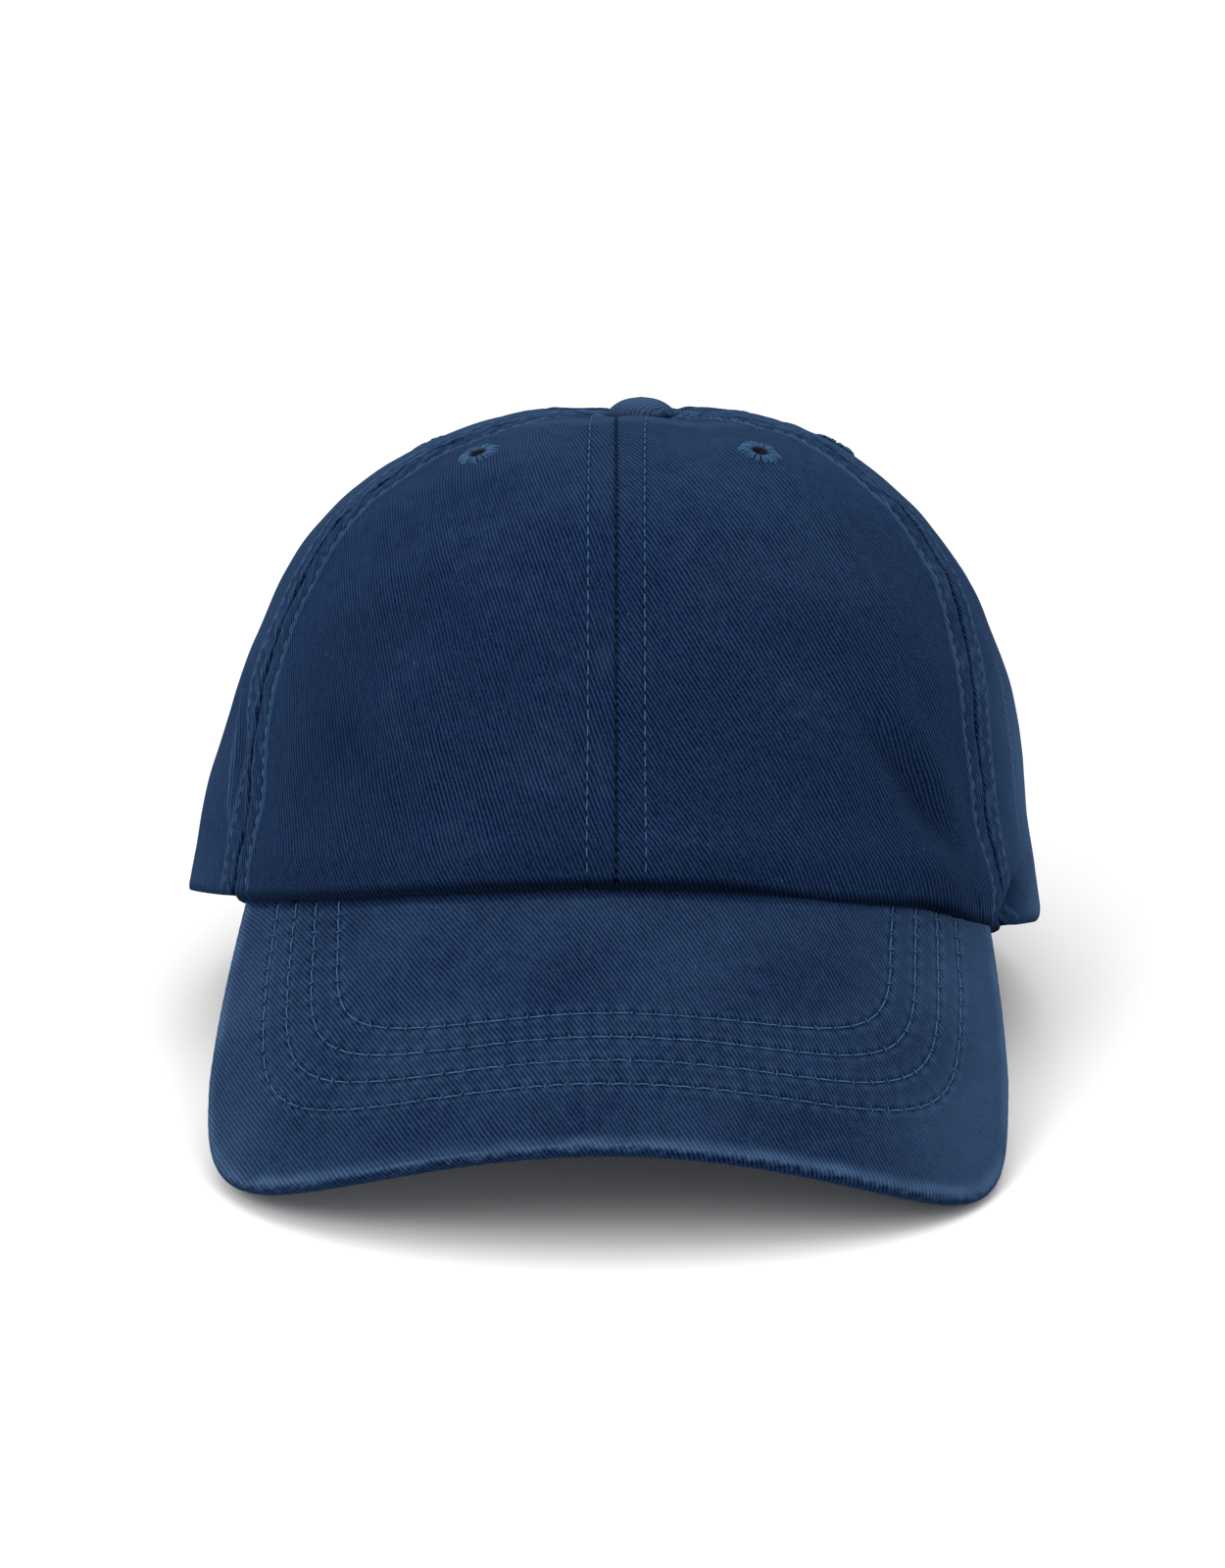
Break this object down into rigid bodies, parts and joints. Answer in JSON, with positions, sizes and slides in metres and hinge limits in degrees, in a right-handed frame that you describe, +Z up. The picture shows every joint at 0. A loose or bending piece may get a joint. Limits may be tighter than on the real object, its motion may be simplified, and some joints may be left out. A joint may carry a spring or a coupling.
{
  "type": "baseball cap",
  "caption": "Soft unstructured cap of cotton twill panels with an arched stitched visor, covered button, vent eyelets and a rear strap with a flip buckle.",
  "frame": {"origin": "centre of the bounding box's base, on the table the cap stands on", "axes": "-Y the way the visor points, +X to the wearer's left, +Z up"},
  "size_m": [0.184, 0.2348, 0.1329],
  "materials": {
    "navy_twill": "washed cotton twill, navy",
    "navy_thread": "satin embroidery thread, blue",
    "seam_tape": "plain woven cotton tape",
    "sweatband_twill": "soft cotton twill",
    "visor_plastic": "matt moulded sheet",
    "button_metal": "plain pressed steel",
    "buckle_metal": "dark antique brass"
  },
  "bodies": {
    "cap": {"front_panel_left": "navy_twill", "front_panel_right": "navy_twill", "side_panel_left": "navy_twill", "side_panel_right": "navy_twill", "back_panel_left": "navy_twill", "back_panel_right": "navy_twill", "visor_top_cover": "navy_twill", "visor_bottom_cover": "navy_twill", "button_cover": "navy_twill", "strap_tab": "navy_twill", "eyelet_front_left": "navy_thread", "eyelet_front_right": "navy_thread", "eyelet_side_left": "navy_thread", "eyelet_side_right": "navy_thread", "eyelet_back_left": "navy_thread", "eyelet_back_right": "navy_thread", "seam_tape_front": "seam_tape", "seam_tape_front_left": "seam_tape", "seam_tape_front_right": "seam_tape", "seam_tape_back_left": "seam_tape", "seam_tape_back_right": "seam_tape", "seam_tape_rear": "seam_tape", "opening_facing": "seam_tape", "sweatband": "sweatband_twill", "visor_board": "visor_plastic", "button_core": "button_metal", "button_washer": "button_metal", "buckle_frame": "buckle_metal", "buckle_pin": "buckle_metal"},
    "strap": {"strap": "navy_twill"},
    "buckle_lever": {"buckle_lever": "buckle_metal"}
  },
  "joints": [
    {"name": "buckle_lever_hinge", "type": "hinge", "parent": "cap", "child": "buckle_lever", "pos_m": [0.01386, 0.11017, 0.01324], "axis": [-0.0376, 0.1767, 0.9835], "range_deg": [0, 100]},
    {"name": "strap_slide", "type": "hinge", "parent": "cap", "child": "strap", "pos_m": [0, 0.02308, 0.02812], "axis": [0, 0.3338, 0.9426], "range_deg": [-10, 0]}
  ]
}
